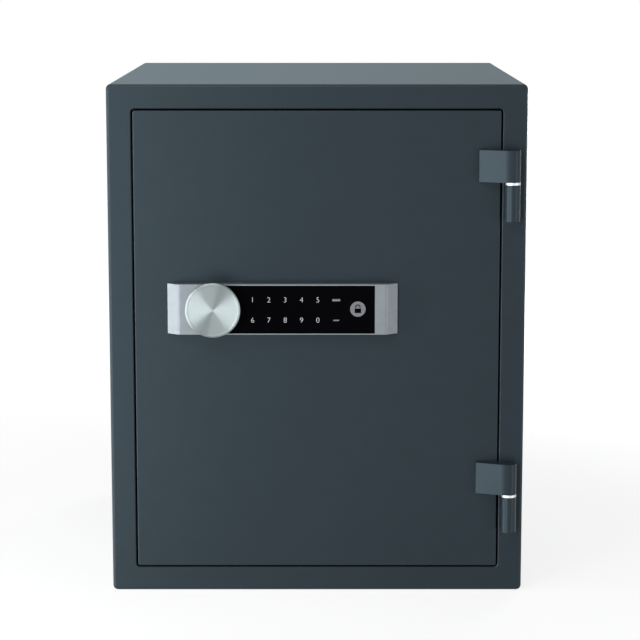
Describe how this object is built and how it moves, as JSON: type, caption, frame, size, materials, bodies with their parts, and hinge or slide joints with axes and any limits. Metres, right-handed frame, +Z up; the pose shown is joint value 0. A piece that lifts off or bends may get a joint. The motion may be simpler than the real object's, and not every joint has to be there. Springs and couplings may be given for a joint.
{
  "type": "fire safe",
  "caption": "Slate grey fire safe with a stepped insulated door, exposed barrel hinges, and a brushed aluminium touch lock whose knob throws locking bolts.",
  "frame": {"origin": "Centre of the cabinet's base, on the plane it stands on, midway between its sides and between its front face and its back.", "axes": "+X to the right seen from the front, +Y to the back, +Z up; the door faces -Y."},
  "size_m": [0.412, 0.4445, 0.51],
  "materials": {
    "slate_paint": "satin",
    "cast_fill": "matte",
    "grey_moulding": "matte",
    "zinc_steel": "satin",
    "bright_steel": "gloss",
    "satin_aluminium": "satin",
    "turned_aluminium": "satin",
    "black_glass": "gloss",
    "bronze": "satin",
    "black_rubber": "matte",
    "green_board": "satin",
    "black_plastic": "matte",
    "cell_wrap": "gloss"
  },
  "bodies": {
    "cabinet": {"outer_wrap": "slate_paint", "back_panel": "slate_paint", "door_frame": "slate_paint", "jamb_angles": "slate_paint", "body_insulation": "cast_fill", "liner_walls": "grey_moulding", "liner_floor": "grey_moulding", "liner_back": "grey_moulding", "strike_boxes": "zinc_steel", "keeper_boxes": "zinc_steel", "anchor_sleeves": "zinc_steel", "shelf_rails": "slate_paint", "upper_hinge_knuckle": "slate_paint", "upper_hinge_pin": "bright_steel", "upper_hinge_washer": "bright_steel", "lower_hinge_knuckle": "slate_paint", "lower_hinge_pin": "bright_steel", "lower_hinge_washer": "bright_steel"},
    "door": {"door_pan": "slate_paint", "door_insulation": "cast_fill", "inner_cover": "grey_moulding", "door_seal": "black_rubber", "upper_hinge_leaf": "slate_paint", "lower_hinge_leaf": "slate_paint", "lock_chassis": "zinc_steel", "chassis_standoffs": "zinc_steel", "chassis_nuts": "zinc_steel", "cover_posts": "zinc_steel", "cover_screws": "bright_steel", "bolt_bushes": "bronze", "dead_bolts": "bright_steel", "lock_bezel": "satin_aluminium", "touch_glass": "black_glass", "keypad_board": "green_board", "bezel_studs": "zinc_steel", "front_bush": "bronze", "spindle_sleeve": "zinc_steel", "rear_bush": "bronze", "solenoid_frame": "zinc_steel", "solenoid_coil": "black_plastic", "control_board": "green_board", "board_standoffs": "black_plastic", "cable_sleeve": "zinc_steel", "lock_cable": "black_rubber", "battery_holder": "black_plastic", "battery_cells": "cell_wrap"},
    "knob": {"knob": "turned_aluminium", "spindle": "zinc_steel", "pinion": "zinc_steel", "spindle_clip": "zinc_steel"},
    "boltwork": {"bolt_plate": "zinc_steel", "locking_bolts": "bright_steel", "bolt_pins": "zinc_steel"},
    "plunger": {"solenoid_plunger": "bright_steel"},
    "battery_lid": {"battery_lid": "grey_moulding"},
    "shelf": {"shelf": "slate_paint"}
  },
  "joints": [
    {"name": "door_swing", "type": "hinge", "parent": "cabinet", "child": "door", "pos_m": [0.1915, -0.218, 0.255], "axis": [0, 0, 1], "range_deg": [0, 180]},
    {"name": "knob_turn", "type": "hinge", "parent": "door", "child": "knob", "pos_m": [-0.1021, -0.22, 0.2905], "axis": [0, 1, 0], "range_deg": [0, 90]},
    {"name": "bolt_throw", "type": "slide", "parent": "door", "child": "boltwork", "axis": [-1, 0, 0], "range_m": [0, 0.0212]},
    {"name": "plunger_drop", "type": "slide", "parent": "door", "child": "plunger", "axis": [0, 0, -1], "range_m": [0, 0.005]},
    {"name": "battery_lid_lift", "type": "slide", "parent": "door", "child": "battery_lid", "axis": [0, 1, 0], "range_m": [0, 0.03]},
    {"name": "shelf_lift", "type": "slide", "parent": "cabinet", "child": "shelf", "axis": [0, 0, 1], "range_m": [0, 0.1]}
  ],
  "couplings": [
    {"joint": "knob_turn", "follows": "bolt_throw", "rad_per_m": 74.074}
  ]
}
